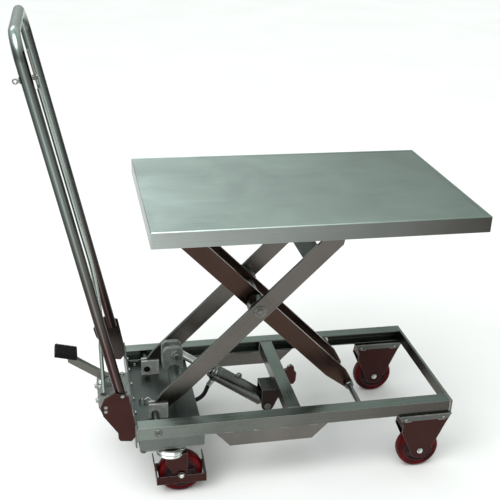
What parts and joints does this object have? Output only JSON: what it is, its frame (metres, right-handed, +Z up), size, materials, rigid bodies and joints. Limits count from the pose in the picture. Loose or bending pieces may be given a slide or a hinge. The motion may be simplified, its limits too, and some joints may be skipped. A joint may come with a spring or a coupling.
{
  "type": "scissor lift table",
  "caption": "Wheeled hydraulic scissor lift table in stainless steel, with a flat deck, crossed arms, foot pump and pedal, tall push handle and red castor wheels, deck part raised",
  "frame": {"origin": "on the floor, under the middle of the whole table's outer box", "axes": "+X from the push handle towards the free end, +Y to the left of the person who pushes, +Z up"},
  "size_m": [0.9377, 0.45, 1.0215],
  "materials": {
    "stainless": "brushed stainless steel",
    "formed_steel": "brushed stainless steel, dark reflections",
    "cast": "light grey casting",
    "chrome": "polished",
    "tyre": "dark red polyurethane, satin",
    "hub": "dark painted hub",
    "rubber": "black ribbed rubber"
  },
  "bodies": {
    "base": {"rail_left": "stainless", "rail_right": "stainless", "front_end_bar": "stainless", "rear_pan": "stainless", "cross_member": "stainless", "side_gusset_left": "stainless", "side_gusset_right": "stainless", "pivot_block_left": "cast", "pivot_block_right": "cast", "cylinder_clevis": "formed_steel", "rear_castor_plate_left": "stainless", "rear_castor_plate_right": "stainless", "handle_tube": "stainless", "handle_bracket_left": "formed_steel", "handle_bracket_right": "formed_steel", "pump_body": "cast", "hydraulic_hose": "rubber", "front_fork_left": "formed_steel", "front_fork_right": "formed_steel", "front_left_axle": "chrome", "front_right_axle": "chrome"},
    "outer_arms": {"outer_arm_left": "stainless", "outer_arm_right": "stainless", "outer_cross_plate": "stainless", "lift_cross_tube": "stainless", "lift_knuckle": "cast", "upper_axle": "chrome"},
    "inner_arms": {"inner_arm_left": "formed_steel", "inner_arm_right": "formed_steel", "centre_tube": "stainless", "lower_axle": "chrome"},
    "deck": {"deck_plate": "stainless", "deck_track_left": "stainless", "deck_track_right": "stainless", "deck_pivot_shaft": "chrome"},
    "cylinder": {"cylinder_barrel": "stainless"},
    "rod": {"piston_rod": "chrome"},
    "pedal": {"pedal_arm": "stainless", "pedal_pad": "rubber"},
    "plunger": {"pump_plunger": "chrome"},
    "release_lever": {"release_lever": "stainless"},
    "release_rod": {"release_rod": "stainless"},
    "upper_roller_left": {"upper_roller_left": "chrome"},
    "lower_roller_left": {"lower_roller_left": "chrome"},
    "front_wheel_left": {"front_left_tyre": "tyre", "front_left_hub": "hub"},
    "rear_castor_left": {"rear_fork_left": "formed_steel", "rear_left_axle": "chrome"},
    "rear_wheel_left": {"rear_left_tyre": "tyre", "rear_left_hub": "hub"},
    "rear_brake_left": {"rear_brake_left": "stainless"},
    "upper_roller_right": {"upper_roller_right": "chrome"},
    "lower_roller_right": {"lower_roller_right": "chrome"},
    "front_wheel_right": {"front_right_tyre": "tyre", "front_right_hub": "hub"},
    "rear_castor_right": {"rear_fork_right": "formed_steel", "rear_right_axle": "chrome"},
    "rear_wheel_right": {"rear_right_tyre": "tyre", "rear_right_hub": "hub"},
    "rear_brake_right": {"rear_brake_right": "stainless"}
  },
  "joints": [
    {"name": "lift", "type": "hinge", "parent": "base", "child": "outer_arms", "pos_m": [-0.21452, 0, 0.164], "axis": [0, -1, 0], "range_deg": [-38.28, 11.72]},
    {"name": "scissor", "type": "hinge", "parent": "outer_arms", "child": "inner_arms", "pos_m": [0.0198, 0, 0.40061], "axis": [0, -1, 0], "range_deg": [-23.46, 76.58]},
    {"name": "deck_level", "type": "hinge", "parent": "inner_arms", "child": "deck", "pos_m": [-0.21452, 0, 0.63723], "axis": [0, -1, 0], "range_deg": [-38.3, 11.74]},
    {"name": "cylinder_swing", "type": "hinge", "parent": "base", "child": "cylinder", "pos_m": [0.06398, 0, 0.1034], "axis": [0, -1, 0], "range_deg": [-1, 2.8], "deforming": ["hydraulic_hose"]},
    {"name": "rod_stroke", "type": "slide", "parent": "cylinder", "child": "rod", "axis": [-0.8151, 0, 0.5793], "range_m": [-0.072, 0.0225]},
    {"name": "pump_pedal", "type": "hinge", "parent": "base", "child": "pedal", "pos_m": [-0.31102, 0, 0.2], "axis": [0, -1, 0], "range_deg": [0, 25], "stiffness_Nm_per_rad": 4, "springref_deg": -6.88},
    {"name": "pump_plunger", "type": "slide", "parent": "base", "child": "plunger", "axis": [0, 0, -1], "range_m": [0, 0.0051]},
    {"name": "release_lever", "type": "hinge", "parent": "base", "child": "release_lever", "pos_m": [-0.44129, -0.158, 0.93457], "axis": [0.9768, 0, 0.2141], "range_deg": [0, 20], "stiffness_Nm_per_rad": 0.6, "springref_deg": -8.59},
    {"name": "release_rod", "type": "slide", "parent": "base", "child": "release_rod", "axis": [0.2141, 0, -0.9768], "range_m": [0, 0.0054]},
    {"name": "upper_roller_left", "type": "hinge", "parent": "outer_arms", "child": "upper_roller_left", "pos_m": [0.25411, 0.11, 0.63723], "axis": [0, 1, 0], "continuous": true},
    {"name": "lower_roller_left", "type": "hinge", "parent": "inner_arms", "child": "lower_roller_left", "pos_m": [0.25411, 0.164, 0.164], "axis": [0, 1, 0], "continuous": true},
    {"name": "front_wheel_left", "type": "hinge", "parent": "base", "child": "front_wheel_left", "pos_m": [0.39708, 0.163, 0.05], "axis": [0, 1, 0], "continuous": true},
    {"name": "rear_swivel_left", "type": "hinge", "parent": "base", "child": "rear_castor_left", "pos_m": [-0.18702, 0.163, 0.1], "axis": [0, 0, 1], "continuous": true},
    {"name": "rear_wheel_left", "type": "hinge", "parent": "rear_castor_left", "child": "rear_wheel_left", "pos_m": [-0.16582, 0.163, 0.05], "axis": [0, 1, 0], "continuous": true},
    {"name": "rear_brake_left", "type": "hinge", "parent": "rear_castor_left", "child": "rear_brake_left", "pos_m": [-0.16582, 0.163, 0.05], "axis": [0, 1, 0], "range_deg": [-7, 7]},
    {"name": "upper_roller_right", "type": "hinge", "parent": "outer_arms", "child": "upper_roller_right", "pos_m": [0.25411, -0.11, 0.63723], "axis": [0, 1, 0], "continuous": true},
    {"name": "lower_roller_right", "type": "hinge", "parent": "inner_arms", "child": "lower_roller_right", "pos_m": [0.25411, -0.164, 0.164], "axis": [0, 1, 0], "continuous": true},
    {"name": "front_wheel_right", "type": "hinge", "parent": "base", "child": "front_wheel_right", "pos_m": [0.39708, -0.163, 0.05], "axis": [0, 1, 0], "continuous": true},
    {"name": "rear_swivel_right", "type": "hinge", "parent": "base", "child": "rear_castor_right", "pos_m": [-0.18702, -0.163, 0.1], "axis": [0, 0, 1], "continuous": true},
    {"name": "rear_wheel_right", "type": "hinge", "parent": "rear_castor_right", "child": "rear_wheel_right", "pos_m": [-0.16582, -0.163, 0.05], "axis": [0, 1, 0], "continuous": true},
    {"name": "rear_brake_right", "type": "hinge", "parent": "rear_castor_right", "child": "rear_brake_right", "pos_m": [-0.16582, -0.163, 0.05], "axis": [0, 1, 0], "range_deg": [-7, 7]}
  ],
  "couplings": [
    {"joint": "scissor", "follows": "lift", "ratio": -2},
    {"joint": "deck_level", "follows": "lift", "ratio": 1},
    {"joint": "cylinder_swing", "follows": "lift", "ratio": -0.07},
    {"joint": "rod_stroke", "follows": "lift", "m_per_rad": 0.107},
    {"joint": "pump_plunger", "follows": "pump_pedal", "m_per_rad": 0.01146},
    {"joint": "release_lever", "follows": "release_rod", "rad_per_m": 64.516}
  ]
}
